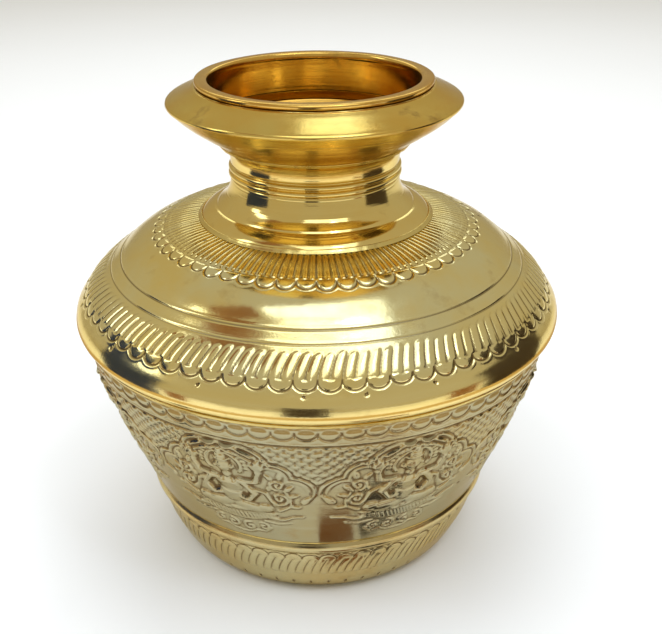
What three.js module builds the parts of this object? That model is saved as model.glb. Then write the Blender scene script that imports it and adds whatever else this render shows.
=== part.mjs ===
// Brass water pot: spun and hammered sheet shells joined by brazed lap seams.
// Units are millimetres, +Z is up, and the origin is the centre of the base.
import * as THREE from "three";

// Overall sizes
const HEIGHT = 229;
const BODY_RADIUS = 114.5;
const BASE_RADIUS = 64;
const NECK_RADIUS = 38.5;
const FLANGE_RADIUS = 66;
const LIP_RADIUS = 50;

// Heights of the shells; the tapering body takes up the rest of the height
const PAN_HEIGHT = 37.327;
const DOME_HEIGHT = 48.548;
const NECK_HEIGHT = 34.579;
const FLARE_HEIGHT = 17.862;
const CROWN_HEIGHT = 10.992;

// Heights of the seams between the shells
const BASE_SEAM_Z = PAN_HEIGHT;
const FLANGE_Z = HEIGHT - CROWN_HEIGHT;
const NECK_SEAM_Z = FLANGE_Z - FLARE_HEIGHT;
const FOOT_Z = NECK_SEAM_Z - NECK_HEIGHT;
const WAIST_SEAM_Z = FOOT_Z - DOME_HEIGHT;

// Outside radii at those seams
const BASE_SEAM_RADIUS = 84.6155;
const WAIST_INSET = 3.893;
const WAIST_SEAM_RADIUS = BODY_RADIUS - WAIST_INSET;

// Rounded edge of the shoulder, from the waist seam
const RIM_RISE = 4.8548;
const ROUND_RISE = 14.32166;
const ROUND_INSET = 4.6275;
const FOOT_RADIUS = NECK_RADIUS + 14.3;
const THROAT_RADIUS = NECK_RADIUS + 5;

// Sheet thicknesses, seams and clearances
const SHEET = 1.2;
const NECK_WALL = 1.5;
const MOUTH_SHEET = 1.6;
const JOINT_GAP = 0.3;
const BODY_LAP = 8;
const BRAZE_LEG = 1.4;
const BRAZE_TOE = 0.4;
const BRAZE_BED = 1.2;

// Neck casting
const STEP_RADIUS = NECK_RADIUS + 6.9;
const FOOT_EDGE = 1.2;
const FOOT_RISE = 5.4;
const SHOULDER_HOLE_RADIUS = FOOT_RADIUS - 6.6;
const SPIGOT_CLEARANCE = 0.5;
const SPIGOT_DEPTH = 4;
const BEAD_RISE = 21.755;
const BEAD_Z = FOOT_Z + BEAD_RISE;
const BEAD_PITCH = 3.4;
const BEAD_HEIGHT = 1.2;

// Mouth liner and its rolled lip
const LIP_HALF_WIDTH = 2.6;
const LIP_LAND_HALF = 1.1;
const LIP_RISE = 3.6;
const LINER_RADIUS = LIP_RADIUS - 1.2;
const LINER_DEPTH = 15;

const SEGMENTS = 48;

const brass = {
  base: { color: 0xb09a58, roughness: 0.36 },
  lower: { color: 0xbca765, roughness: 0.3 },
  shoulder: { color: 0xd6bc68, roughness: 0.25 },
  neck: { color: 0xcda344, roughness: 0.2 },
  mouth: { color: 0xd9b55c, roughness: 0.22 },
  liner: { color: 0xb87a32, roughness: 0.32 },
  braze: { color: 0xa38236, roughness: 0.45 },
};

// Point of a section: radius, then height.
function at(radius, height) {
  return new THREE.Vector2(radius, height);
}

// Smooth curve through the stations, cut into even steps.
function smooth(stations, steps) {
  return new THREE.SplineCurve(stations).getSpacedPoints(steps);
}

// The same path moved sideways, to the left of its direction.
function offset(path, distance) {
  return path.map((point, i) => {
    const into = point.clone().sub(path[Math.max(i - 1, 0)]).normalize();
    const out = path[Math.min(i + 1, path.length - 1)].clone().sub(point).normalize();
    const along = into.clone().add(out).normalize();
    const side = i > 0 ? into : out;
    const reach = distance / along.dot(side);
    return at(point.x - along.y * reach, point.y + along.x * reach);
  });
}

// Closed section of a sheet whose outside face is the given path.
function sheet(outside, thickness) {
  return [...outside, ...offset(outside, thickness).reverse()];
}

// Body of revolution about +Z with its own finish.
function turned(name, section, finish) {
  const geometry = new THREE.LatheGeometry([...section, section[0].clone()], SEGMENTS);
  geometry.rotateX(Math.PI / 2);
  const material = new THREE.MeshStandardMaterial({ ...finish, metalness: 1 });
  const mesh = new THREE.Mesh(geometry, material);
  mesh.name = name;
  return mesh;
}

// Skins: the outside faces of the sheet shells, each from its lower edge upwards.
function lowerSkin() {
  const bottom = at(BASE_SEAM_RADIUS, BASE_SEAM_Z + BRAZE_BED);
  const top = at(WAIST_SEAM_RADIUS, WAIST_SEAM_Z);
  const belly = bottom.clone().lerp(top, 0.36).add(at(1.1, 0));
  const flank = bottom.clone().lerp(top, 0.8).add(at(2, 0));
  return smooth([bottom, belly, flank, top], 9);
}

function shoulderSkin() {
  const rise = FOOT_Z - WAIST_SEAM_Z;
  const run = BODY_RADIUS - FOOT_RADIUS;
  const dome = (out, up) => at(FOOT_RADIUS + out * run, WAIST_SEAM_Z + up * rise);
  const edge = at(WAIST_SEAM_RADIUS + JOINT_GAP + SHEET, WAIST_SEAM_Z);
  const rimTop = at(BODY_RADIUS, WAIST_SEAM_Z + RIM_RISE);
  const round = at(BODY_RADIUS - ROUND_INSET, WAIST_SEAM_Z + ROUND_RISE);
  const rim = smooth([edge, rimTop, round, dome(0.85, 0.418)], 6);
  const crown = smooth([dome(0.85, 0.418), dome(0.55, 0.736), dome(0.37, 0.873), dome(0, 1)], 6);
  const hole = at(SHOULDER_HOLE_RADIUS, FOOT_Z + 0.6);
  return [...rim, ...crown.slice(1), hole];
}

function flangeUnderside() {
  const throat = at(THROAT_RADIUS, NECK_SEAM_Z + BRAZE_BED);
  const edge = at(FLANGE_RADIUS - 0.8, FLANGE_Z - 1);
  const hollow = throat.clone().lerp(edge, 0.45).add(at(0.5, -0.8));
  return smooth([throat, hollow, edge], 4);
}

function flangeTop() {
  const edge = at(FLANGE_RADIUS - 0.6, FLANGE_Z + 2.4);
  const inner = at(LINER_RADIUS + JOINT_GAP + 0.45 * MOUTH_SHEET, HEIGHT - LIP_RISE - 0.3);
  const slope = edge.clone().lerp(inner, 0.55).add(at(0, 0.6));
  return smooth([edge, slope, inner], 4);
}

function basePan() {
  const wallTop = at(BASE_SEAM_RADIUS - 0.4, BASE_SEAM_Z - BRAZE_BED);
  const heel = at(BASE_RADIUS, 0);
  const round = [heel, at(BASE_RADIUS + 5.5, 1.6), at(BASE_RADIUS + 10, 7)];
  const wall = smooth([...round, at(BASE_RADIUS + 14.2, 0.45 * BASE_SEAM_Z), wallTop], 7);
  const lap = offset(lowerSkin().slice(0, 2), SHEET + JOINT_GAP);
  const joggle = at(lap[0].x - 0.5, BASE_SEAM_Z + 0.2);
  const outside = [at(0, 0), ...wall, joggle, ...lap];
  return turned("base_pan", sheet(outside, SHEET), brass.base);
}

function lowerBody() {
  const top = at(WAIST_SEAM_RADIUS + 0.9, WAIST_SEAM_Z + BODY_LAP);
  return turned("lower_body", sheet([...lowerSkin(), top], SHEET), brass.lower);
}

function shoulder() {
  return turned("shoulder", sheet(shoulderSkin(), SHEET), brass.shoulder);
}

// Foot moulding, flared stem, twin beads and throat, from the foot edge upwards.
function neckOutside() {
  const foot = FOOT_Z + JOINT_GAP;
  const moulding = [
    at(FOOT_RADIUS, foot),
    at(FOOT_RADIUS, foot + FOOT_EDGE),
    at(FOOT_RADIUS - 2.4, foot + 0.62 * FOOT_RISE),
    at(STEP_RADIUS + 1, foot + FOOT_RISE - 0.6),
    at(STEP_RADIUS, foot + FOOT_RISE),
  ];
  const flare = smooth([
    at(STEP_RADIUS - 1, foot + FOOT_RISE + 0.7),
    at(NECK_RADIUS + 1.6, foot + FOOT_RISE + 5),
    at(NECK_RADIUS, foot + FOOT_RISE + 9),
  ], 5);
  const beads = [-1, 1].flatMap((side) => {
    const middle = BEAD_Z + (side * BEAD_PITCH) / 2;
    return [
      at(NECK_RADIUS + 0.2, middle - 0.45 * BEAD_PITCH),
      at(NECK_RADIUS + BEAD_HEIGHT, middle),
      at(NECK_RADIUS + 0.2, middle + 0.45 * BEAD_PITCH),
    ];
  });
  const throat = smooth([
    at(NECK_RADIUS + 0.8, BEAD_Z + 6),
    at(NECK_RADIUS + 2.3, BEAD_Z + 9.3),
    at(THROAT_RADIUS - 0.9, NECK_SEAM_Z - 0.6),
  ], 3);
  return [...moulding, ...flare, ...beads, ...throat];
}

function neckInside() {
  const bore = NECK_RADIUS - NECK_WALL;
  const spigot = SHOULDER_HOLE_RADIUS - SPIGOT_CLEARANCE;
  const under = FOOT_Z + JOINT_GAP;
  return [
    at(THROAT_RADIUS - 2.9, NECK_SEAM_Z),
    at(bore + 0.9, BEAD_Z + 8),
    at(bore, BEAD_Z),
    at(bore, under + FOOT_RISE + 9),
    at(bore + 1.6, under + FOOT_RISE + 4.6),
    at(spigot - NECK_WALL, under + FOOT_EDGE),
    at(spigot - NECK_WALL, under - SPIGOT_DEPTH),
    at(spigot, under - SPIGOT_DEPTH),
    at(spigot, under + 0.7),
    at(SHOULDER_HOLE_RADIUS, under + 0.7),
  ];
}

function neckCollar() {
  const tuck = offset(flangeUnderside().slice(0, 2), MOUTH_SHEET + JOINT_GAP);
  const rim = sheet(tuck, NECK_WALL);
  const section = [...neckOutside(), ...rim, ...neckInside()];
  return turned("neck_collar", section, brass.neck);
}

// The flange is one sheet folded over at its edge.
function mouthFlange() {
  const underside = flangeUnderside();
  const top = flangeTop();
  const fold = at(FLANGE_RADIUS, FLANGE_Z + 1);
  const pocket = at(FLANGE_RADIUS - 3.9, FLANGE_Z + 0.6);
  const insideTop = offset(top, MOUTH_SHEET).slice(1).reverse();
  const insideUnder = offset(underside, MOUTH_SHEET).slice(0, -1).reverse();
  const section = [...underside, fold, ...top, ...insideTop, pocket, ...insideUnder];
  return turned("mouth_flange", section, brass.mouth);
}

function mouthLiner() {
  const crown = at(LIP_RADIUS, HEIGHT);
  const seat = flangeTop().at(-2).clone().lerp(flangeTop().at(-1), 0.25);
  const outer = LIP_RADIUS + LIP_HALF_WIDTH;
  const inner = LINER_RADIUS - MOUTH_SHEET;
  const section = [
    at(inner, HEIGHT - LIP_RISE - LINER_DEPTH),
    at(LINER_RADIUS, HEIGHT - LIP_RISE - LINER_DEPTH),
    at(LINER_RADIUS, HEIGHT - LIP_RISE + JOINT_GAP),
    at(outer - 0.4, seat.y + JOINT_GAP + 0.5),
    at(outer, HEIGHT - 2.4),
    at(outer - 0.8, HEIGHT - 0.8),
    at(crown.x + LIP_LAND_HALF, HEIGHT),
    at(crown.x - LIP_LAND_HALF, HEIGHT),
    at(inner + 0.7, HEIGHT - 0.9),
    at(inner, HEIGHT - 2.6),
  ];
  return turned("mouth_liner", section, brass.liner);
}

// Braze filler: a wedge ring whose corner sits in the corner of a joint.
function filletAbove(name, radius, height) {
  const low = height + JOINT_GAP;
  const section = [
    at(radius, low),
    at(radius + BRAZE_LEG, low),
    at(radius + BRAZE_TOE, low + BRAZE_LEG),
    at(radius, low + BRAZE_LEG),
  ];
  return turned(name, section, brass.braze);
}

function filletBelow(name, radius, height, leg) {
  const high = height - JOINT_GAP;
  const section = [
    at(radius, high - leg),
    at(radius + BRAZE_TOE, high - leg),
    at(radius + leg, high),
    at(radius, high),
  ];
  return turned(name, section, brass.braze);
}

const group = new THREE.Group();
group.name = "brass_water_pot";
group.add(basePan(), lowerBody(), shoulder(), neckCollar(), mouthFlange(), mouthLiner());
group.add(
  filletBelow("base_seam_braze", BASE_SEAM_RADIUS - 1.3, BASE_SEAM_Z + BRAZE_BED, 0.9),
  filletBelow("waist_seam_braze", WAIST_SEAM_RADIUS + JOINT_GAP, WAIST_SEAM_Z, BRAZE_LEG),
  filletAbove("foot_seam_braze", FOOT_RADIUS + JOINT_GAP, FOOT_Z),
  filletBelow("neck_seam_braze", THROAT_RADIUS - 0.6, NECK_SEAM_Z + BRAZE_BED, 1.2),
  filletAbove("lip_seam_braze", LIP_RADIUS + LIP_HALF_WIDTH, HEIGHT - 4.4),
);

export default group;
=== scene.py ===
"""Looks of the brass water pot: chased shells, brass finishes, studio and camera."""
import math

import bpy
import numpy as np
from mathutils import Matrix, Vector


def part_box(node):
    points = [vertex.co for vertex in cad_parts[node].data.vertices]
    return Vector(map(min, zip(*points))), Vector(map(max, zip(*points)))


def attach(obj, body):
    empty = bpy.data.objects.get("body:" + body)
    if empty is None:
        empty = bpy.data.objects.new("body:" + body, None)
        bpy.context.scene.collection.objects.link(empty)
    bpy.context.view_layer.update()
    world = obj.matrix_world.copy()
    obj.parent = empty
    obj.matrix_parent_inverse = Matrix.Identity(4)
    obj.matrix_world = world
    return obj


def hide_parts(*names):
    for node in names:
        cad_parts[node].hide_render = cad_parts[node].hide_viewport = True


MM = 0.001
TAU = 2 * math.pi
DEG = math.pi / 180

# Meshing, in millimetres and in columns round the pot
SHEET = 1.2
FINE_STEP = 0.42
WALL_STEP = 2.4
BODY_COLUMNS = 1536
PAN_COLUMNS = 1152
MOUTH_COLUMNS = 512
NECK_COLUMNS = 384
BRAZE_COLUMNS = 360

# Counts of the chased ornament round the pot
MEDALLIONS = 8
PETAL_ARCS, PETAL_STROKES = 70, 136
FLUTE_ARCS, FLUTE_STROKES = 54, 135
BORDER_ARCS = 72
LEAF_ARCS, LEAF_STROKES = 64, 128
HEEL_MARKS = 56

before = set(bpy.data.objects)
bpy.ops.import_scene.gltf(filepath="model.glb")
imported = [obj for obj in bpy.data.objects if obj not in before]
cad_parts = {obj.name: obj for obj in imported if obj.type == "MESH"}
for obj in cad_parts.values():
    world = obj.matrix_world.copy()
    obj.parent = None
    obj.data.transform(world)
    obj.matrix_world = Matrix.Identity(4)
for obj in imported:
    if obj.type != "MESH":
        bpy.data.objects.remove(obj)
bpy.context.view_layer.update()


# ---------------------------------------------------------------- profiles
def even(path, step):
    """The path cut into even steps, with the distance along it."""
    run = np.r_[0, np.cumsum(np.hypot(*np.diff(path, axis=0).T))]
    along = np.linspace(0, run[-1], max(2, int(round(run[-1] / step)) + 1))
    return np.column_stack([np.interp(along, run, path[:, k]) for k in (0, 1)])


def through(stations, step):
    """Smooth path of radius and height that passes through the stations."""
    p = np.array(stations, float)
    p = np.vstack([2 * p[0] - p[1], p, 2 * p[-1] - p[-2]])
    pieces = []
    for a, b, c, d in zip(p, p[1:], p[2:], p[3:]):
        t = np.linspace(0, 1, 24, endpoint=False)[:, None]
        square = (2 * a - 5 * b + 4 * c - d) * t**2
        cube = (3 * b - a - 3 * c + d) * t**3
        pieces.append(0.5 * (2 * b + (c - a) * t + square + cube))
    return even(np.vstack(pieces + [p[-2:-1]]), step)


def rounded(stations, step, passes=3):
    """Path along the stations with its corners eased. A repeated station stays sharp."""
    path = np.array(stations, float)
    for _ in range(passes):
        a, b = path[:-1], path[1:]
        cut = np.empty((2 * len(a), 2))
        cut[0::2] = 0.75 * a + 0.25 * b
        cut[1::2] = 0.25 * a + 0.75 * b
        path = np.vstack([path[:1], cut, path[-1:]])
    return even(path, step)


def outward(path):
    """Unit normals of a path, on its right-hand side: outward for a path that goes up."""
    d = np.gradient(path, axis=0)
    n = np.column_stack([d[:, 1], -d[:, 0]])
    return n / np.maximum(np.hypot(*n.T), 1e-9)[:, None]


def inner_wall(path, thickness, step):
    """The inside of a sheet whose outside is the given path, running back down."""
    return even((path - outward(path) * thickness)[::-1], step)


# ---------------------------------------------------------------- relief tools
# T is the angle round the pot, S the distance along the wall from its lower edge, R the radius
# and Z the height. X and Y measure across and up the wall in a medallion. Lengths are in
# millimetres.
def ease(x, a, b):
    t = np.clip((x - a) / (b - a), 0, 1)
    return t * t * (3 - 2 * t)


def bell(d, width):
    return np.exp(-((d / width) ** 2))


def window(x, low, high, soft):
    return ease(x, low, low + soft) * (1 - ease(x, high - soft, high))


def waves(T, S, seed, count, lobes, length):
    """Gentle hand-made unevenness: a sum of waves that closes round the pot, about 1 high."""
    draw = np.random.default_rng(seed)
    out = 0.0
    for _ in range(count):
        k = draw.integers(lobes[0], lobes[1] + 1)
        m = draw.uniform(-1, 1) * TAU / length
        out = out + np.sin(k * T + m * S + draw.uniform(0, TAU)) * draw.uniform(0.5, 1)
    return out / math.sqrt(count)


def cell(u, seed, low, high, count):
    """A random value for each whole number of u, repeating round the pot."""
    table = np.random.default_rng(seed).uniform(low, high, count)
    return table[np.floor(u).astype(int) % count]


def scallops(T, S, count, cusp, drop, radius, depth, pillow, seed, up=1):
    """Arcs made with a curved punch, hanging from cusps (up=1) or arching over them (up=-1)."""
    u = T * count / TAU
    x = (u - np.floor(u) - 0.5) * 2
    hang = drop * cell(u, seed, 0.88, 1.1, count)
    y = up * (cusp - S) / hang
    half = TAU * radius / count / 2
    q = np.sqrt(x**2 + y**2)
    slope = np.sqrt((x / half) ** 2 + (y / hang) ** 2) / np.maximum(q, 1e-3)
    d = (q - 1) / np.maximum(slope, 1e-3)
    side = ease(y, -0.12, 0.1)
    hit = cell(u, seed + 1, 0.75, 1.2, count)
    line = -depth * hit * bell(d, 0.42)
    lift = 0.35 * depth * bell(d - 0.95, 0.5)
    return (line + lift) * side + pillow * np.clip(1 - q**2, 0, 1) ** 0.7 * side


def strokes(T, S, count, low, high, lean, height, seed, tips=1.3, power=0.6):
    """Raised ribs with a sharp groove between them, leaning over towards their top."""
    v = np.clip((S - low) / (high - low), 0, 1)
    u = (T - lean * DEG * v**1.7) * count / TAU
    t = u - np.floor(u)
    side = (2 * t - 1) ** 2
    grow = cell(u, seed, 0.75, 1.15, count)
    shift = cell(u, seed + 1, -0.5, 0.5, count)
    ends = ease(S, low + tips * side + shift * 0.6, low + tips * side + 1.4)
    ends = ends * (1 - ease(S, high - tips * side - 2.2 + shift, high - tips * side + shift))
    return height * grow * ends * (np.sin(math.pi * t) ** power - 0.35)


def dome(X, Y, x, y, a, b, height, turn=0.0):
    """An oval boss."""
    c, s = math.cos(turn * DEG), math.sin(turn * DEG)
    dx, dy = X - x, Y - y
    q = ((c * dx + s * dy) / a) ** 2 + ((c * dy - s * dx) / b) ** 2
    return height * np.sqrt(np.clip(1 - q, 0, 1))


def cord(X, Y, points, width, height, taper=1.0):
    """A raised line along straight legs, its width scaled towards the last point by taper."""
    best = np.zeros(np.broadcast(X, Y).shape)
    legs = list(zip(points, points[1:]))
    for k, ((x0, y0), (x1, y1)) in enumerate(legs):
        dx, dy = x1 - x0, y1 - y0
        t = np.clip(((X - x0) * dx + (Y - y0) * dy) / (dx * dx + dy * dy), 0, 1)
        w = width * (1 + (taper - 1) * (k + t) / len(legs))
        d = np.hypot(X - x0 - t * dx, Y - y0 - t * dy)
        best = np.maximum(best, height * np.sqrt(np.clip(1 - (d / w) ** 2, 0, 1)))
    return best


def hoop(X, Y, x, y, radius, width, height):
    """A raised ring."""
    d = np.hypot(X - x, Y - y) - radius
    return height * np.sqrt(np.clip(1 - (d / width) ** 2, 0, 1))


def scroll(X, Y, x, y, radius, turns, start, hand, width, height):
    """A tendril that winds in from its outer end."""
    steps = int(10 * turns) + 2
    points = []
    for k in range(steps):
        f = k / (steps - 1)
        angle = start * DEG + hand * f * turns * TAU
        reach = radius * (1 - 0.86 * f)
        points.append((x + reach * math.cos(angle), y + reach * math.sin(angle)))
    return cord(X, Y, points, width, height, 0.8)


def leaf(X, Y, x, y, length, width, turn, height):
    """A pointed leaf from its stem at (x, y), with a midrib cut into it."""
    c, s = math.cos(turn * DEG), math.sin(turn * DEG)
    along = (c * (X - x) + s * (Y - y)) / length
    across = (c * (Y - y) - s * (X - x)) / width
    room = np.sqrt(np.clip(4 * along * (1 - along), 0, 1)) * (1.15 - 0.5 * along)
    q = np.clip(1 - (across / np.maximum(room, 1e-3)) ** 2, 0, 1)
    body = np.where((along > 0) & (along < 1), np.sqrt(q), 0.0)
    return height * body * (1 - 0.35 * bell(across, 0.16))


def highest(*fields):
    out = fields[0]
    for f in fields[1:]:
        out = np.maximum(out, f)
    return out


def soften(h, rows, columns):
    """The relief averaged over a few rows and, round the pot, a few columns."""
    for axis, width in ((0, rows), (1, columns)):
        if width < 1:
            continue
        total = np.zeros_like(h)
        for k in range(-width, width + 1):
            if axis:
                total += np.roll(h, k, axis=1)
            else:
                total += h[np.clip(np.arange(len(h)) + k, 0, len(h) - 1)]
        h = total / (2 * width + 1)
    return h


# ---------------------------------------------------------------- shells
def mesh_object(name, verts, quads, tris, attributes):
    mesh = bpy.data.meshes.new(name)
    loops = np.concatenate([quads.ravel(), tris.ravel()]).astype(np.int32)
    sizes = np.r_[np.full(len(quads), 4), np.full(len(tris), 3)]
    starts = np.r_[0, np.cumsum(sizes)[:-1]].astype(np.int32)
    mesh.vertices.add(len(verts))
    mesh.vertices.foreach_set("co", (verts * MM).astype(np.float32).ravel())
    mesh.loops.add(len(loops))
    mesh.loops.foreach_set("vertex_index", loops)
    mesh.polygons.add(len(sizes))
    mesh.polygons.foreach_set("loop_start", starts)
    mesh.update(calc_edges=True)
    mesh.validate()
    for key, values in attributes.items():
        layer = mesh.attributes.new(key, "FLOAT", "POINT")
        layer.data.foreach_set("value", values.astype(np.float32).ravel())
    mesh.shade_smooth()
    obj = bpy.data.objects.new(name, mesh)
    bpy.context.scene.collection.objects.link(obj)
    return obj


def rim(a, b, direction):
    """Rows that close a sheet's edge, from row a to row b, bulging along direction."""
    half = np.hypot(a[0] - b[0], a[1] - b[1]) / 2
    out = []
    for t in (0.1, 0.3, 0.5, 0.7, 0.9):
        bulge = 0.5 * half * math.sin(math.pi * t)
        out.append([a[k] + (b[k] - a[k]) * t + bulge * direction[k] for k in (0, 1)])
    return out


def turned(name, outside, inside, columns, relief=None, swell=None):
    """Body of revolution from an upward outside path and a downward inside path.

    relief takes angle, distance, radius and height, and is chased into the outside only.
    swell takes angle and height, and moves both walls. A path that starts on the axis
    closes there."""
    T = (np.arange(columns) * TAU / columns)[None, :]
    capped = outside[0, 0] == 0
    pole_levels = outside[0, 1], inside[-1, 1]
    if capped:
        outside, inside = outside[1:], inside[:-1]
    S = np.r_[0, np.cumsum(np.hypot(*np.diff(outside, axis=0).T))][:, None]
    chased = np.zeros((len(outside), columns))
    if relief:
        chased = chased + relief(T, S, outside[:, :1], outside[:, 1:])
    plain_wall = np.zeros((len(inside), columns))
    rows = []
    for path, height, sign in ((outside, chased, 1), (inside, plain_wall, -1)):
        if swell:
            height = height + sign * swell(T, path[:, 1:])
        n = outward(path)
        rows.append([path[:, :1] + n[:, :1] * height, path[:, 1:] + n[:, 1:] * height])
    (r1, z1), (r2, z2) = rows
    going = [np.subtract(path[-1], path[-3]) for path in (outside, inside)]
    going = [g / np.hypot(*g) for g in going]
    over = rim((r1[-1], z1[-1]), (r2[0], z2[0]), going[0])
    under = [] if capped else rim((r2[-1], z2[-1]), (r1[0], z1[0]), going[1])
    r = np.vstack([r1] + [row[0] for row in over] + [r2] + [row[0] for row in under])
    z = np.vstack([z1] + [row[1] for row in over] + [z2] + [row[1] for row in under])
    pits = np.zeros_like(r)
    pits[: len(r1)] = soften(chased, 3, 3) - chased
    verts = np.stack([r * np.sin(T), -r * np.cos(T), z], axis=-1).reshape(-1, 3)
    n = len(r)
    i = np.arange(n - 1 if capped else n)[:, None] * columns
    j = np.arange(columns)[None, :]
    k = (j + 1) % columns
    up = (i + columns) % (n * columns)
    quads = np.stack([i + j, i + k, up + k, up + j], axis=-1).reshape(-1, 4)
    tris = np.zeros((0, 3), int)
    values = pits.ravel()
    if capped:
        verts = np.vstack([verts, [[0, 0, level] for level in pole_levels]])
        j, k = j[0], k[0]
        low = np.stack([np.full(columns, n * columns), k, j], axis=-1)
        last = (n - 1) * columns
        high = np.stack([last + j, last + k, np.full(columns, n * columns + 1)], axis=-1)
        tris = np.vstack([low, high])
        values = np.r_[values, 0, 0]
    return mesh_object(name, verts, quads, tris, {"pit": values})


def stand_for(obj, node, material):
    obj.data.materials.append(material)
    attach(obj, "root")
    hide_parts(node)
    return obj


# ---------------------------------------------------------------- the chased ornament
# Single punch marks under the lower petals, in degrees round the pot
PUNCH_ANGLES = (-77, -52, -25.5, -2.8, 9.9, 25, 49, 71, 98, 121, 143, 170, 192, 214, 239, 262)


def shoulder_relief(T, S, R, Z):
    """Lower ring of leaning petals, two cut lines, and an upper ring of straight flutes."""
    h = strokes(T, S, PETAL_STROKES, 19.8, 33.2, 2.3, 0.62, 11)
    h = h + scallops(T, S, PETAL_ARCS, 20.6, 4.3, 110, 0.5, 0.38, 21)
    h = h + 0.5 * np.sin(math.pi * np.clip((S - 43) / 17, 0, 1))
    for line, deep in ((35.2, 0.24), (41.6, 0.30), (67.6, 0.12)):
        h = h - deep * bell(S - line, 0.45) + 0.4 * deep * bell(S - line - 1.0, 0.6)
    h = h + strokes(T, S, FLUTE_STROKES, 66.0, 86.5, 0, 0.6, 31, tips=0.9, power=0.5)
    h = h + scallops(T, S, FLUTE_ARCS, 65.6, 4.8, 75, 0.45, 0.38, 41)
    for angle in PUNCH_ANGLES:
        x = 110 * ((T - angle * DEG + math.pi) % TAU - math.pi)
        h = h - 0.8 * np.exp(-((x / 0.7) ** 2 + ((S - 14.4) / 0.75) ** 2))
    return h


def lattice(X, Y, wide, tall, height):
    """Cross-hatching: pillows between two sets of slanting cuts."""
    a, b = X / wide + Y / tall, X / wide - Y / tall
    return height * (np.abs(np.sin(math.pi * a) * np.sin(math.pi * b)) ** 0.35 - 0.5)


def seated_figure(X, Y):
    """A generic calm seated figure with four arms, crown and halo, over a lotus seat."""
    M = np.abs(X)
    legs = highest(
        dome(M, Y, 7.2, 25.2, 8.8, 3.7, 1.15, -10),
        dome(M, Y, 14.2, 25.6, 3.6, 3.4, 1.05),
        dome(X, Y, 2.6, 23.4, 7.2, 2.0, 1.3, 6),
        dome(X, Y, -4.4, 22.6, 4.6, 1.5, 1.2, -8),
    )
    body = highest(
        dome(X, Y, 0, 33, 5.6, 5.6, 1.35),
        dome(X, Y, 0, 40, 6.2, 5.4, 1.25),
        dome(M, Y, 2.9, 41.3, 3.1, 2.9, 1.4),
        dome(M, Y, 6.9, 43.6, 3.2, 2.6, 1.25),
        dome(X, Y, 0, 47.4, 2.3, 3.0, 1.2),
    )
    near_arm = cord(M, Y, [(8.0, 43), (11.8, 36.8), (8.2, 31.6), (5.2, 32.4)], 1.75, 1.45, 0.8)
    far_arm = cord(M, Y, [(7.6, 44.2), (13.4, 44.8), (15.0, 50.4)], 1.6, 1.15, 0.85)
    hands = highest(
        dome(M, Y, 15.2, 51.6, 1.9, 2.1, 1.2),
        dome(M, Y, 5.0, 32.6, 1.9, 1.7, 1.5),
        leaf(M, Y, 15.2, 52.6, 6.4, 1.9, 90, 1.1),
        leaf(M, Y, 15.6, 52.6, 5.4, 1.5, 58, 0.95),
        leaf(M, Y, 14.8, 52.6, 5.4, 1.5, 122, 0.95),
    )
    head = dome(X, Y, 0, 53.2, 4.0, 4.9, 1.6)
    head = head - 0.3 * np.exp(-(((M - 1.55) / 0.75) ** 2 + ((Y - 53.9) / 0.4) ** 2))
    head = head + 0.28 * np.exp(-((X / 0.5) ** 2 + ((Y - 52.8) / 1.2) ** 2))
    head = head - 0.2 * np.exp(-((X / 1.1) ** 2 + ((Y - 50.8) / 0.3) ** 2))
    crown = highest(
        dome(X, Y, 0, 57.4, 4.3, 1.5, 1.5),
        dome(X, Y, 0, 59.4, 3.1, 2.6, 1.4),
        dome(X, Y, 0, 62.4, 1.6, 2.6, 1.2),
        dome(M, Y, 4.4, 52.6, 0.9, 1.6, 1.3),
    )
    beads = 0.25 * bell(np.hypot(X, Y - 46) - 4.6, 0.5) * (Y < 45)
    beads = beads + 0.3 * bell(np.hypot(X, Y - 43) - 8.6, 0.6) * (Y < 41) * (M < 6)
    belt = 0.3 * bell(Y - 28.8 + 0.03 * X**2, 0.5) * (M < 6)
    halo = hoop(X, Y, 0, 53.6, 8.4, 0.8, 0.75) * ease(Y, 48, 50)
    rays = 0.55 * np.abs(np.sin(np.arctan2(Y - 53.6, X) * 13)) ** 0.6
    rays = rays * window(np.hypot(X, Y - 53.6), 9.3, 12.0, 0.5) * ease(Y, 50, 53)
    scarf = cord(M, Y, [(9.2, 41.5), (15.8, 37), (17.4, 31), (20.4, 28.4)], 1.0, 0.75, 0.6)
    torso = body + beads + belt
    return highest(legs, torso, near_arm, far_arm, hands, head, crown, halo, rays, scarf)


def lotus_seat(X, Y):
    """Ribbed seat with drawn-out tips, and a cloud of small scrolls under it."""
    M = np.abs(X)
    sag = 15.6 + 0.0105 * X**2
    brim = 20.6 + 0.002 * X**2
    inside = ease(Y, sag, sag + 0.5) * (1 - ease(Y, brim - 0.5, brim)) * (1 - ease(M, 16.5, 18.5))
    ribs = 0.85 * np.abs(np.sin(math.pi * (X + 0.35 * (Y - 18)) / 1.75)) ** 0.55 * inside
    rims = 0.8 * (bell(Y - sag, 0.55) + bell(Y - brim - 0.4, 0.55)) * (1 - ease(M, 17, 20))
    tips = cord(M, Y, [(15.5, 18.2), (20.5, 18.0), (25, 20.2), (30.5, 20.0)], 1.0, 0.8, 0.4)
    under = cord(M, Y, [(12, 14.6), (18, 13.8), (24, 15.6)], 0.75, 0.55, 0.5)
    cloud = highest(
        scroll(M, Y, 4.2, 9.4, 3.4, 1.2, 80, 1, 0.7, 0.6),
        scroll(M, Y, 10.6, 10.2, 2.9, 1.2, 120, -1, 0.65, 0.55),
        cord(M, Y, [(0, 4.4), (4, 4.8), (7, 7.0), (11, 6.6), (14, 9.6)], 0.65, 0.5),
    )
    return highest(ribs, rims, tips, under, cloud)


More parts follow.
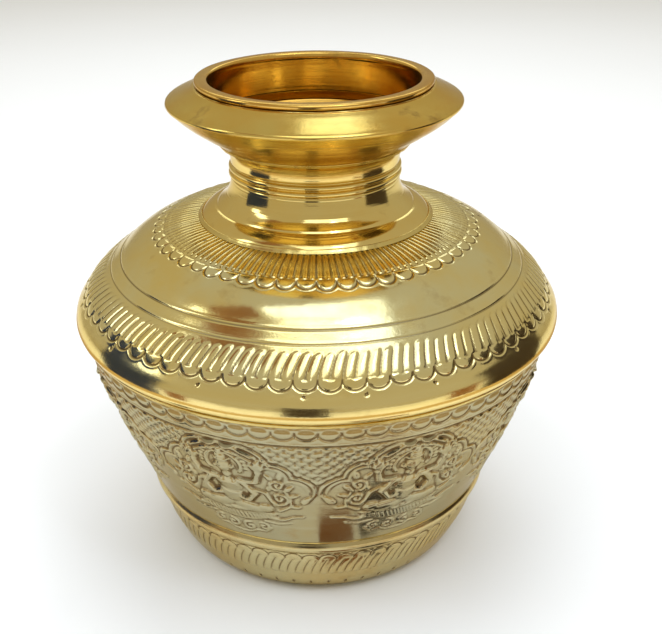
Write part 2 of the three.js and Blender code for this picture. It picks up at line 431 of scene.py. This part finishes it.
def foliage(X, Y):
    """Scrolls and leaves that fill the ground on both sides of the figure."""
    M = np.abs(X)
    tilt = 0.35 * np.sin(0.35 * Y)
    W = M + tilt
    vines = highest(
        scroll(W, Y, 21.5, 33.5, 4.8, 1.5, 200, 1, 0.85, 0.8),
        scroll(W, Y, 22.3, 43.0, 3.9, 1.4, 250, -1, 0.8, 0.75),
        scroll(W, Y, 18.2, 58.0, 3.2, 1.2, 300, 1, 0.7, 0.65),
        cord(W, Y, [(20, 24.5), (25.5, 28), (26.6, 34), (25, 39)], 0.8, 0.7, 0.7),
    )
    leaves = highest(
        leaf(W, Y, 26.0, 35, 5.4, 1.5, 20, 0.8),
        leaf(W, Y, 25.6, 39, 5.6, 1.5, 48, 0.8),
        leaf(W, Y, 23.0, 47, 5.2, 1.4, 75, 0.75),
        leaf(W, Y, 19.6, 46.5, 4.6, 1.3, 118, 0.7),
        leaf(W, Y, 25.4, 28, 5.2, 1.4, -8, 0.75),
        leaf(W, Y, 19.2, 27.5, 4.2, 1.3, 120, 0.7),
        leaf(W, Y, 17.4, 38.4, 4.2, 1.2, 70, 0.7),
    )
    flames = highest(
        cord(M, Y, [(2.4, 66.2), (8, 65.4), (13.5, 61.2)], 1.25, 1.0, 0.5),
        cord(M, Y, [(4.0, 63.0), (9, 61.4), (13, 57.8)], 1.1, 0.9, 0.5),
    )
    spurs = leaf(M, Y, 31.2, 30.2, 8.5, 1.7, 52, 0.95)
    return highest(vines, leaves, flames, spurs)


def lower_relief(T, S, R, Z):
    """Scalloped border, cut line, and lobed medallions with cross-hatching between them."""
    border = scallops(T, S, BORDER_ARCS, 78.0, 4.0, 110, 0.55, 0.3, 51)
    border = border + 0.35 * bell(S - 79.2, 0.7) * np.abs(np.cos(T * BORDER_ARCS / 2)) ** 6
    h = border - 0.5 * bell(S - 70.0, 0.5) + 0.25 * bell(S - 71.1, 0.6) - 0.3 * bell(S - 81.4, 0.4)
    u = T / (TAU / MEDALLIONS)
    place = np.floor(u).astype(int) % MEDALLIONS
    X = R * (T - (np.floor(u) + 0.5) * TAU / MEDALLIONS)
    Y = S + np.zeros_like(T)
    drift = np.random.default_rng(61).uniform(-0.7, 0.7, (2, MEDALLIONS))
    X = X + 0.5 * waves(T, S, 62, 6, (9, 40), 30) + drift[0][place]
    Y = Y + 0.5 * waves(T, S, 63, 6, (9, 40), 30) + drift[1][place]
    M = np.abs(X)
    lobes = ((0, 60, 8.6), (8, 55, 13.2), (20, 48, 10.6), (29, 40, 10.2), (0, 40, 26))
    edge = np.minimum.reduce([np.hypot(M - x, Y - y) - r for x, y, r in lobes])
    shown = ease(Y, 34, 41)
    outer = ease(edge, 0.2, 0.9) * ease(Y, 38, 42) * (1 - ease(S, 68.6, 69.4))
    h = h + outer * lattice(X, Y, 6.4, 5.4, 0.95)
    lines = 0.6 * bell(edge + 1.3, 0.8) - 0.5 * bell(edge - 0.1, 0.5)
    lines = lines - 0.35 * bell(edge + 2.7, 0.45)
    lines = lines + 0.35 * bell(edge + 4.0, 0.6)
    h = h + lines * shown * (1 - ease(S, 68.4, 69.2))
    core = highest(seated_figure(X, Y), lotus_seat(X, Y), foliage(X, Y))
    h = h + 1.2 * core * (1 - ease(S, 67.6, 68.6))
    return soften(h, 1, 1)


def pan_relief(T, S, R, Z):
    """Ring of small leaning leaves under arches, with punched marks below them."""
    h = scallops(T, Z, LEAF_ARCS, 26.2, 3.3, 80, 0.42, 0.15, 71, up=-1)
    h = h + strokes(T, Z, LEAF_STROKES, 14.6, 27.0, 3.0, 0.55, 81, tips=1.0)
    u = T * HEEL_MARKS / TAU
    x = (u - np.floor(u) - 0.5) * TAU / HEEL_MARKS * 72
    h = h - 0.5 * np.exp(-((x / 0.8) ** 2 + ((Z - 6.4) / 1.9) ** 2)) * (Z > 0.5)
    return h - 0.25 * bell(Z - 30.2, 0.45)


def body_swell(T, Z):
    """Hammered and spun unevenness of the thin shells."""
    broad = 0.10 * waves(T, Z, 5, 9, (2, 9), 90)
    fine = 0.035 * waves(T, Z, 6, 10, (14, 34), 26)
    return (broad + fine) * ease(Z, 1.0, 6.0)


def neck_swell(T, Z):
    return 0.03 * waves(T, Z, 8, 8, (3, 14), 30)


# ---------------------------------------------------------------- finishes
class Graph:
    """Short way to wire a material's nodes."""

    def __init__(self, name):
        self.material = bpy.data.materials.new(name)
        self.material.use_nodes = True
        self.tree = self.material.node_tree
        self.shader = self.tree.nodes["Principled BSDF"]

    def set(self, socket, value):
        if isinstance(value, bpy.types.NodeSocket):
            self.tree.links.new(value, socket)
        elif value is not None:
            socket.default_value = value

    def node(self, kind, inputs=(), **settings):
        made = self.tree.nodes.new("ShaderNode" + kind)
        for key, value in settings.items():
            setattr(made, key, value)
        for key, value in dict(inputs).items():
            self.set(made.inputs[key], value)
        return made

    def math(self, operation, a, b=None):
        inputs = {0: a} if b is None else {0: a, 1: b}
        return self.node("Math", inputs, operation=operation).outputs[0]

    def noise(self, vector, scale, detail=2.0, roughness=0.5):
        inputs = {"Vector": vector, "Scale": scale, "Detail": detail, "Roughness": roughness}
        return self.node("TexNoise", inputs).outputs["Fac"]

    def remap(self, value, low, high, to_low=0.0, to_high=1.0):
        inputs = {"Value": value, "From Min": low, "From Max": high}
        inputs.update({"To Min": to_low, "To Max": to_high})
        return self.node("MapRange", inputs).outputs["Result"]

    def mix(self, factor, a, b):
        """A blend of two colours: sockets 0, 6 and 7 are its factor, A and B."""
        made = self.node("Mix", data_type="RGBA")
        self.set(made.inputs[0], factor)
        self.set(made.inputs[6], a)
        self.set(made.inputs[7], b)
        return made.outputs[2]


# Colours of the dirt in the cuts, of the tarnish, and of the brass seen at a slant
BROWN_DIRT = (0.13, 0.065, 0.02, 1)
STAIN = (0.42, 0.25, 0.07, 1)
EDGE_TINT = (0.80, 0.74, 0.62, 1)
# The turning lines follow the height plus a share of the radius, and hardly change round the pot
CLIMB_PER_RADIUS = 0.71
SPREAD = 0.02


def brass(name, colour, warm, rough, turning, tarnish, dent=1.0, painted_shade_below=None):
    """Polished brass: turning lines round the axis, cloudy tarnish, specks, and dirt in the cuts.

    Below the given height the warm colour takes over: painted shade that turns the shoulder's
    waist rim a darker ochre."""
    g = Graph(name)
    where = g.node("TexCoord").outputs["Object"]
    x, y, z = g.node("SeparateXYZ", {0: where}).outputs
    squares = g.math("ADD", g.math("MULTIPLY", x, x), g.math("MULTIPLY", y, y))
    climb = g.math("ADD", z, g.math("MULTIPLY", g.math("SQRT", squares), CLIMB_PER_RADIUS))
    round_x, round_y = (g.math("MULTIPLY", axis, SPREAD) for axis in (x, y))
    streak = g.node("CombineXYZ", {0: round_x, 1: round_y, 2: climb}).outputs[0]
    # The scales of the noise are per metre.
    fine = g.noise(streak, 1500.0, 3.0, 0.6)
    broad = g.noise(streak, 260.0, 2.0, 0.5)
    cloud = g.noise(where, 24.0, 4.0, 0.6)
    patch = g.noise(where, 75.0, 5.0, 0.62)
    grit = g.noise(where, 2600.0, 2.0, 0.5)
    pit = g.node("Attribute", attribute_name="pit").outputs["Fac"]
    cut = g.remap(pit, 0.03, 0.24)
    crest = g.remap(pit, -0.04, -0.22)
    warm_tone_and_shade = g.remap(cloud, 0.36, 0.66)
    # Painted shade: below the given height the tint turns to the darker, warm ochre; above it the
    # warm tone is random clouding.
    if painted_shade_below:
        warm_tone_and_shade = g.math("MAXIMUM", warm_tone_and_shade, g.remap(z, painted_shade_below + 0.004, painted_shade_below - 0.006))
    tint = g.mix(warm_tone_and_shade, colour, warm)
    pale = [min(1.0, c * 1.12 + 0.03) for c in colour[:3]] + [1]
    tint = g.mix(g.math("MULTIPLY", g.remap(broad, 0.52, 0.74), 0.35), tint, pale)
    stain = g.math("MULTIPLY", g.remap(patch, 0.60, 0.78), tarnish)
    tint = g.mix(stain, tint, STAIN)
    speckle = g.node("TexVoronoi", {"Vector": where, "Scale": 62.0, "Randomness": 1.0})
    speck = g.remap(speckle.outputs["Distance"], 0.085, 0.04)
    chance = g.node("SeparateColor", {0: speckle.outputs["Color"]}).outputs[0]
    speck = g.math("MULTIPLY", speck, g.remap(chance, 0.80, 0.84))
    tint = g.mix(g.math("MULTIPLY", speck, 0.75), tint, BROWN_DIRT)
    tint = g.mix(g.math("MULTIPLY", cut, 0.82), tint, BROWN_DIRT)
    tint = g.mix(g.math("MULTIPLY", crest, 0.4), tint, pale)
    g.set(g.shader.inputs["Base Color"], tint)
    g.shader.inputs["Metallic"].default_value = 1.0
    g.shader.inputs["Specular Tint"].default_value = EDGE_TINT
    shine = g.remap(patch, 0.35, 0.75, rough, rough + 0.10)
    shine = g.math("ADD", shine, g.math("MULTIPLY", cut, 0.22))
    shine = g.math("ADD", shine, g.math("MULTIPLY", g.remap(fine, 0.3, 0.7), 0.05))
    g.set(g.shader.inputs["Roughness"], g.math("ADD", shine, g.math("MULTIPLY", speck, 0.3)))
    lines = g.math("ADD", g.math("MULTIPLY", fine, 0.6), g.math("MULTIPLY", broad, 1.4))
    normal = None
    for height, strength, depth in (
        (lines, turning, 0.00012), (patch, 0.10 * dent, 0.0012), (grit, 0.06, 0.00006)
    ):
        inputs = {"Strength": strength, "Distance": depth, "Height": height, "Normal": normal}
        normal = g.node("Bump", inputs).outputs[0]
    g.set(g.shader.inputs["Normal"], normal)
    return g.material


# ---------------------------------------------------------------- the pot
def top(node):
    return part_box(node)[1].z / MM


def bottom(node):
    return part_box(node)[0].z / MM


RIM_Z = top("mouth_liner")
WAIST_Z = bottom("shoulder")
LOW_SEAM_Z = bottom("lower_body")

FINISH = {
    "base_pan": brass(
        "brass_pan", (0.60, 0.52, 0.28, 1), (0.62, 0.46, 0.19, 1), 0.15, 0.35, 0.5
    ),
    # Painted shade: the lower body's brass takes darker, greyer colours, for the dim floor it
    # mirrors.
    "lower_body": brass(
        "brass_lower_painted_shade", (0.44, 0.40, 0.25, 1), (0.46, 0.37, 0.18, 1), 0.11, 0.3, 0.5
    ),
    # Painted shade: the shoulder's waist rim, below 133 mm, takes the darker, warm ochre.
    "shoulder": brass(
        "brass_shoulder", (0.86, 0.76, 0.40, 1), (0.90, 0.69, 0.24, 1), 0.09, 0.3, 0.35, painted_shade_below=0.133
    ),
    "neck_collar": brass(
        "brass_neck", (0.86, 0.67, 0.25, 1), (0.86, 0.60, 0.17, 1), 0.05, 0.5, 0.35, 0.5
    ),
    "mouth_flange": brass(
        "brass_flange", (0.80, 0.60, 0.17, 1), (0.80, 0.50, 0.10, 1), 0.13, 0.6, 0.9, 1.0
    ),
    "mouth_liner": brass(
        "brass_liner", (0.82, 0.54, 0.14, 1), (0.74, 0.41, 0.08, 1), 0.10, 0.4, 0.9, 0.7
    ),
    "braze": brass(
        "brass_braze", (0.82, 0.65, 0.24, 1), (0.76, 0.55, 0.16, 1), 0.16, 0.3, 0.4
    ),
}


def build_pan():
    """The bottom, dished by 0.9 mm, the rounded heel and the rolled edge above the seam."""
    flat = even(np.array([(0, 0.9), (30, 0.75), (50, 0.25), (58, 0.0)], float), 1.5)
    stations = [(58, 0.0), (64, 0.0), (69.5, 1.7), (74, 7), (78.2, 16.8), (82.0, 28.6)]
    heel = through(stations, 0.5)
    heel[:, 1] = np.maximum(heel[:, 1], 0)
    edge = [
        (82.0, 28.6), (82.6, 30.3), (83.1, 31.2), (84.3, 32.2), (84.9, 34.0), (84.5, 35.7),
        (83.8, 36.6), (83.5, 37.3), (83.6, 39.1), (86.2, 47.0),
    ]
    roll = rounded(edge, 0.5)
    outside = np.vstack([flat, heel[1:], roll[1:]])
    coarse = np.vstack([flat[:1], flat[4::4], heel[1::2], roll[1::2]])
    inside = (coarse - outward(coarse) * SHEET)[::-1]
    inside[-1, 0] = 0
    return turned("pot_base_pan", outside, inside, PAN_COLUMNS, pan_relief, body_swell)


def build_lower():
    skin = [(84.8, LOW_SEAM_Z), (95.0, 66.8), (107.3, 101.3), (110.6, WAIST_Z), (111.5, 125.0)]
    outside = through(skin, FINE_STEP)
    inside = inner_wall(outside, SHEET, WALL_STEP)
    return turned("pot_lower_body", outside, inside, BODY_COLUMNS, lower_relief, body_swell)


def build_shoulder():
    skin = [
        (112.1, WAIST_Z), (113.9, 119.2), (114.5, 122.2), (113.3, 126.6), (109.9, 131.4),
        (105.2, 137.3), (96.5, 144.9), (86.7, 152.8), (75.6, 159.4), (64.0, 163.4),
        (52.8, 165.5), (46.2, 166.0),
    ]
    outside = through(skin, FINE_STEP)
    inside = inner_wall(outside, SHEET, WALL_STEP)
    return turned("pot_shoulder", outside, inside, BODY_COLUMNS, shoulder_relief, body_swell)


def build_neck():
    foot = bottom("neck_collar") + 4
    turning = [
        (46.2, foot + 0.6), (50, foot + 0.35), (52.5, foot + 0.1), (53.0, foot + 0.3),
        (52.9, foot + 0.9), (52.0, foot + 2.1), (50.2, foot + 3.6), (48.0, foot + 4.8),
        (46.4, foot + 5.4), (45.8, foot + 5.5), (45.4, foot + 5.9), (45.0, foot + 6.5),
        (43.2, foot + 7.9), (41.2, foot + 10.0), (39.7, foot + 13.0), (38.8, foot + 16.6),
        (38.5, foot + 18.4), (38.1, 184.6), (38.3, 184.9), (39.5, 185.2), (39.8, 186.4),
        (39.4, 187.4), (38.4, 187.7), (38.4, 188.0), (39.3, 188.3), (39.7, 189.2),
        (39.3, 190.3), (38.3, 190.6), (38.2, 190.9), (38.7, 191.4), (38.9, 194.6),
        (39.7, 197.2), (41.6, 199.2), (43.8, 200.5), (43.6, 201.0), (43.0, 201.4),
        (47.4, 205.3),
    ]
    outside = rounded(turning, 0.3, 2)
    bore = [
        (46.6, 207.1), (41.4, 203.6), (40.4, 200.0), (37.9, 196.3), (37.0, 190), (37.0, 181),
        (38.4, 176.2), (41.0, 172.2), (43.9, foot + 1.4), (44.3, foot - 3.9),
        (45.7, foot - 3.9), (45.9, foot + 0.2),
    ]
    inside = rounded(bore, 1.0)
    return turned("pot_neck_collar", outside, inside, NECK_COLUMNS, neck_lines, neck_swell)


def neck_lines(T, S, R, Z):
    """Tool lines of the lathe, and the chatter it left above the beads."""
    h = -0.10 * bell(Z - 183.2, 0.25) - 0.08 * bell(Z - 197.4, 0.25) - 0.06 * bell(Z - 176.4, 0.3)
    chatter = 0.012 * np.sin(T * 190) * window(Z, 192.0, 199.4, 1.0)
    return h + chatter


def build_flange():
    fold = [
        (43.9, 201.2), (46.4, 203.4), (50.6, 206.0), (53.6, 208.0), (54.0, 208.6),
        (54.4, 208.5), (57.4, 210.6), (60.3, 212.9), (60.6, 213.5), (61.1, 213.5),
        (63.6, 215.9), (65.2, 217.5), (66.1, 218.2), (66.4, 219.0), (66.1, 219.8),
        (64.9, 220.6), (61.4, 222.2), (57.8, 223.9), (55.6, 225.0), (54.2, 226.0),
        (53.0, 226.3), (51.0, 225.8), (49.6, 225.4),
    ]
    outside = rounded(fold, 0.35, 2)
    back = [
        (49.2, 224.0), (54.0, 223.2), (58.0, 221.9), (62.0, 219.9), (62.4, 218.0),
        (58.0, 213.4), (52.0, 208.6), (46.0, 205.0), (43.4, 203.0),
    ]
    inside = rounded(back, 1.0)
    return turned("pot_mouth_flange", outside, inside, MOUTH_COLUMNS, None, neck_swell)


def build_liner():
    lip = [
        (48.8, bottom("mouth_liner")), (48.8, 225.6), (49.0, 226.2), (52.4, 226.6),
        (53.1, 226.9), (53.3, 227.9), (53.1, 228.6), (52.6, 228.9), (51.0, RIM_Z),
        (49.0, RIM_Z), (48.0, 228.9), (47.4, 228.5), (47.2, 227.1),
    ]
    outside = rounded(lip, 0.25, 2)
    inside = even(np.array([(47.2, 226.2), (47.2, bottom("mouth_liner"))], float), 0.8)
    return turned("pot_mouth_liner", outside, inside, MOUTH_COLUMNS, None, neck_swell)


def build_braze(node, high, low):
    """Filed filler ring with an uneven face. high and low are the radii of the face."""
    z0, z1 = bottom(node), top(node)
    inner = min(high, low) - 0.45
    middle = ((low + high) / 2 - 0.1, (z0 + z1) / 2)
    outside = even(np.array([(low, z0), middle, (high, z1)], float), 0.25)
    inside = even(np.array([(inner, z1), (inner, z0)], float), 0.5)

    def uneven(T, S, R, Z):
        return 0.07 * waves(T, 0 * Z, len(node), 10, (9, 60), 20)

    obj = turned("pot_" + node, outside, inside, BRAZE_COLUMNS, uneven)
    return stand_for(obj, node, FINISH["braze"])


SHELLS = {
    "base_pan": build_pan,
    "lower_body": build_lower,
    "shoulder": build_shoulder,
    "neck_collar": build_neck,
    "mouth_flange": build_flange,
    "mouth_liner": build_liner,
}
for node, make in SHELLS.items():
    stand_for(make(), node, FINISH[node])

build_braze("base_seam_braze", 84.5, 84.2)
build_braze("waist_seam_braze", 112.2, 111.5)
build_braze("foot_seam_braze", 53.2, 54.6)
build_braze("neck_seam_braze", 44.2, 43.5)
build_braze("lip_seam_braze", 53.3, 55.0)


# ---------------------------------------------------------------- studio
PAINT_ROUGHNESS = 0.6
FLOOR_COLOUR = (0.93, 0.93, 0.93, 1)
FLOOR_HALF = 3.0
CARD_HEIGHT = 0.004
COOL = (0.72, 0.84, 1.0)
LAMP_COLOUR, LAMP_POWER, LAMP_SIZE = (0.92, 0.95, 1.0), 9.5, (1.2, 1.2)
WORLD_COLOUR, WORLD_STRENGTH = (1.0, 0.94, 0.78, 1), 0.50
SIGNS = ((-1, -1), (1, -1), (1, 1), (-1, 1))


def plain(name, colour):
    g = Graph(name)
    where = g.node("TexCoord").outputs["Object"]
    shade = g.remap(g.noise(where, 3.0), 0.3, 0.7)
    darker = [c * 0.985 for c in colour[:3]] + [1]
    g.set(g.shader.inputs["Base Color"], g.mix(shade, colour, darker))
    g.shader.inputs["Roughness"].default_value = PAINT_ROUGHNESS
    return g.material


def link(name, mesh, material):
    obj = bpy.data.objects.new(name, mesh)
    obj.data.materials.append(material)
    bpy.context.scene.collection.objects.link(obj)
    return obj


def unseen(obj):
    """Leaves an object only in the brass."""
    obj.visible_camera = obj.visible_diffuse = obj.visible_shadow = False
    return obj


def sheet_mesh(name, corners, material):
    mesh = bpy.data.meshes.new(name)
    mesh.from_pydata([Vector(c) for c in corners], [], [(0, 1, 2, 3)])
    return link(name, mesh, material)


def flag(name, centre, width, height, material):
    """An upright card that faces the axis, seen only in the brass."""
    c = Vector(centre)
    side = Vector((-c.y, c.x, 0)).normalized() * width / 2
    rise = Vector((0, 0, height / 2))
    corners = [c - side - rise, c + side - rise, c + side + rise, c - side + rise]
    return unseen(sheet_mesh(name, corners, material))


def card(name, centre, width, depth, material):
    """A level card, seen only in the brass."""
    c = Vector(centre)
    corners = [c + Vector((sx * width / 2, sy * depth / 2, 0)) for sx, sy in SIGNS]
    return unseen(sheet_mesh(name, corners, material))


def mat_card(name, inner, outer, z, material):
    """A level ring round the pot, seen only in the brass."""
    count = 48
    turn = np.arange(count) * TAU / count
    level = np.full(count, z)
    rings = [np.column_stack([r * np.sin(turn), r * np.cos(turn), level]) for r in (inner, outer)]
    after = [(i + 1) % count for i in range(count)]
    faces = [(i, j, count + j, count + i) for i, j in enumerate(after)]
    mesh = bpy.data.meshes.new(name)
    mesh.from_pydata(np.vstack(rings).tolist(), [], faces)
    return unseen(link(name, mesh, material))


def area(name, place, aim, size, power, colour):
    lamp = bpy.data.lights.new(name, "AREA")
    lamp.shape = "RECTANGLE"
    lamp.size, lamp.size_y = size
    lamp.energy = power
    lamp.color = colour
    obj = bpy.data.objects.new(name, lamp)
    obj.location = place
    obj.rotation_euler = (Vector(aim) - Vector(place)).to_track_quat("-Z", "Y").to_euler()
    bpy.context.scene.collection.objects.link(obj)
    return obj


corners = [(sx * FLOOR_HALF, sy * FLOOR_HALF, 0) for sx, sy in SIGNS]
sheet_mesh("studio_floor", corners, plain("floor_paint", FLOOR_COLOUR))

# The cards only show as reflections in the brass. Each has a centre, a width, and a height or
# a depth, in metres.
dark = plain("flag_dark", (0.035, 0.022, 0.016, 1))
blue = plain("flag_blue", (0.015, 0.03, 0.11, 1))
brown = plain("flag_brown", (0.27, 0.115, 0.035, 1))
amber = plain("flag_amber", (0.56, 0.41, 0.22, 1))
flag("flag_person", (-0.035, -0.42, 0.10), 0.13, 0.20, dark)
flag("flag_left", (-0.33, -0.07, 0.12), 0.20, 0.24, blue)
flag("flag_right", (0.33, -0.04, 0.12), 0.22, 0.24, dark)
flag("flag_left_shelf", (-0.34, -0.24, 0.06), 0.07, 0.10, brown)
flag("flag_right_shelf", (0.33, -0.22, 0.07), 0.09, 0.12, brown)
card("card_brown", (0.012, -0.098, CARD_HEIGHT), 0.024, 0.020, brown)
card("card_dark", (0.042, -0.099, CARD_HEIGHT), 0.028, 0.024, dark)
mat_card("card_mat", 0.215, 0.36, 0.002, amber)
card("card_rug", (0.060, -0.138, CARD_HEIGHT), 0.060, 0.020, brown)
card("card_left", (-0.13, -0.085, CARD_HEIGHT), 0.03, 0.03, dark)
card("card_hands", (-0.05, -0.41, 1.20), 0.50, 0.035, dark)
card("card_shelf", (-0.62, -0.22, 1.15), 0.42, 0.30, brown)

area("soft_top", (0.14, -0.42, 1.35), (0, 0, 0.15), (0.95, 0.95), 5.4, COOL)
area("soft_back", (0.10, 0.42, 1.25), (0, 0, 0.20), (0.34, 0.30), 0.55, COOL)
area("window_right", (0.30, -0.52, 1.15), (0, 0, 0.15), (0.12, 0.16), 0.6, COOL)
area("window_left", (-1.2, -0.15, 0.9), (0, 0, 0.12), (0.25, 0.7), 1.8, COOL)
area("back_fill", (0.0, 1.3, 1.0), (0, 0, 0.1), (1.2, 0.4), 2.2, COOL)

# Lamps for the floor, which the brass doesn't mirror
LAMPS = {
    "lamp_left": (-0.9, -0.5, 1.6),
    "lamp_right": (0.9, -0.5, 1.6),
    "lamp_back": (0, 0.9, 1.6),
}
for name, place in LAMPS.items():
    lamp = area(name, place, (0, 0, 0), LAMP_SIZE, LAMP_POWER, LAMP_COLOUR)
    lamp.visible_glossy = False

world = bpy.data.worlds.new("studio_world")
world.use_nodes = True
sky = world.node_tree.nodes["Background"]
sky.inputs["Color"].default_value = WORLD_COLOUR
sky.inputs["Strength"].default_value = WORLD_STRENGTH
bpy.context.scene.world = world

# ---------------------------------------------------------------- camera
CAMERA_BACK, CAMERA_UP = 0.459, 0.334
PITCH, ROLL = 26.09, -0.64
SENSOR_MM, LENS_MM = 36, 56.4471
SHIFT_X, SHIFT_Y = 0.02145, 0.001964
camera = bpy.data.cameras.new("camera")
camera.sensor_fit = "HORIZONTAL"
camera.sensor_width = SENSOR_MM
camera.lens = LENS_MM
camera.shift_x = SHIFT_X
camera.shift_y = SHIFT_Y
camera.clip_start = 0.01
view = bpy.data.objects.new("camera", camera)
view.location = (0, -CAMERA_BACK, CAMERA_UP)
view.rotation_mode = "XYZ"
view.rotation_euler = ((90 - PITCH) * DEG, 0, 0)
view.rotation_euler.rotate_axis("Z", ROLL * DEG)
bpy.context.scene.collection.objects.link(view)
bpy.context.scene.camera = view
bpy.context.scene.view_settings.view_transform = "Standard"
